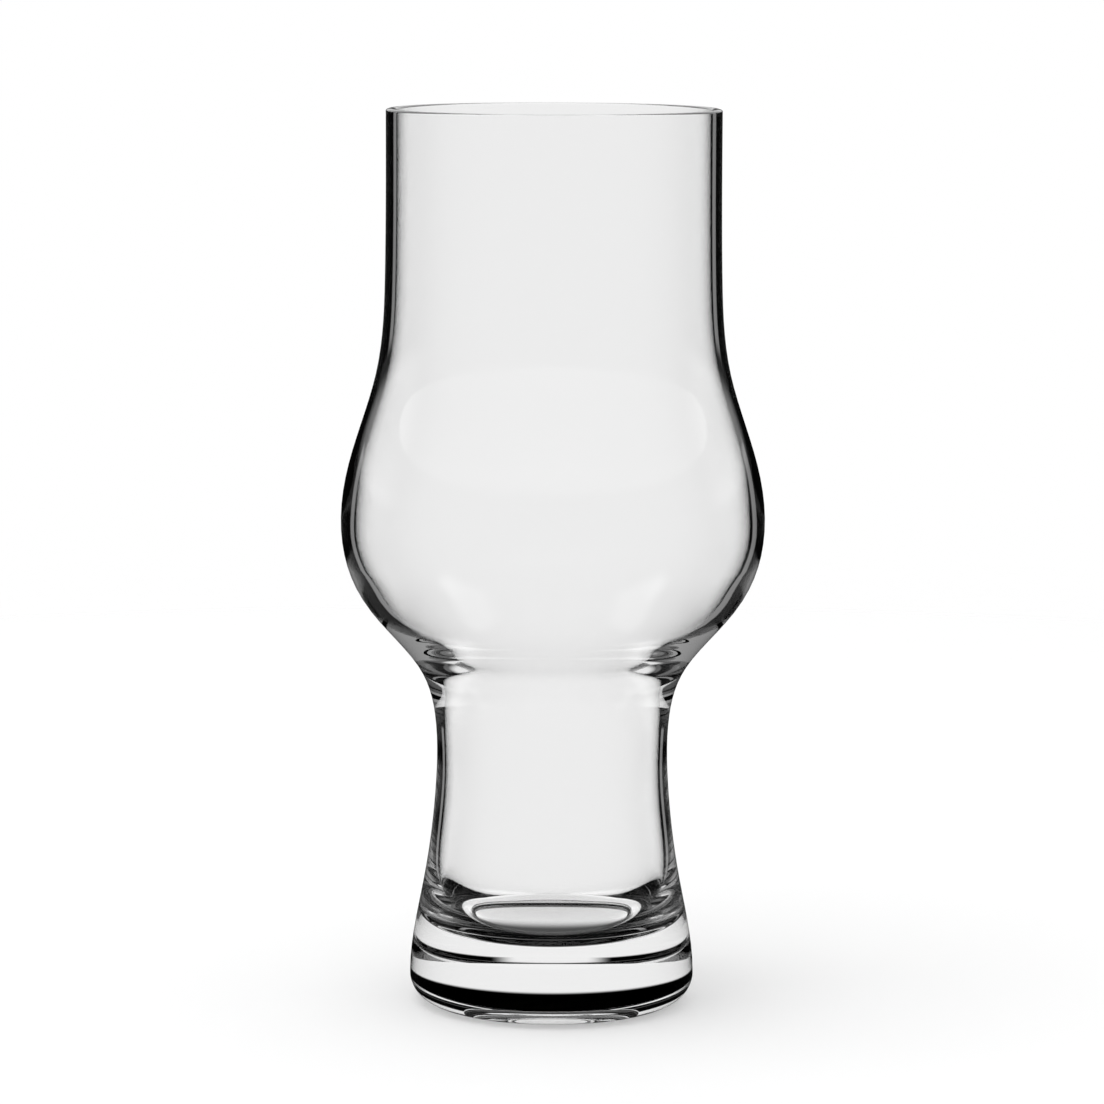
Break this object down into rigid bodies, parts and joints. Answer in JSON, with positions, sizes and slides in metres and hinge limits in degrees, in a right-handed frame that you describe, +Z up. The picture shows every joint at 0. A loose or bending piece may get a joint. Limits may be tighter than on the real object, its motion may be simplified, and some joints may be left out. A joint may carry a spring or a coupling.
{
  "type": "beer glass",
  "caption": "Clear drinking glass for pale ale: straight upper wall over a round bulge, a waisted hollow stem as grip, and a thick solid clear base.",
  "frame": {"origin": "middle of the plane that the glass stands on, on its axis", "axes": "+Z runs up the axis of the glass to the rim; X and Y are alike, because the glass is turned"},
  "size_m": [0.0754, 0.0754, 0.16],
  "materials": {
    "clear_glass": "clear colourless glass, fire polished"
  },
  "bodies": {
    "root": {"bowl": "clear_glass", "hollow_stem": "clear_glass", "base": "clear_glass"}
  },
  "joints": []
}
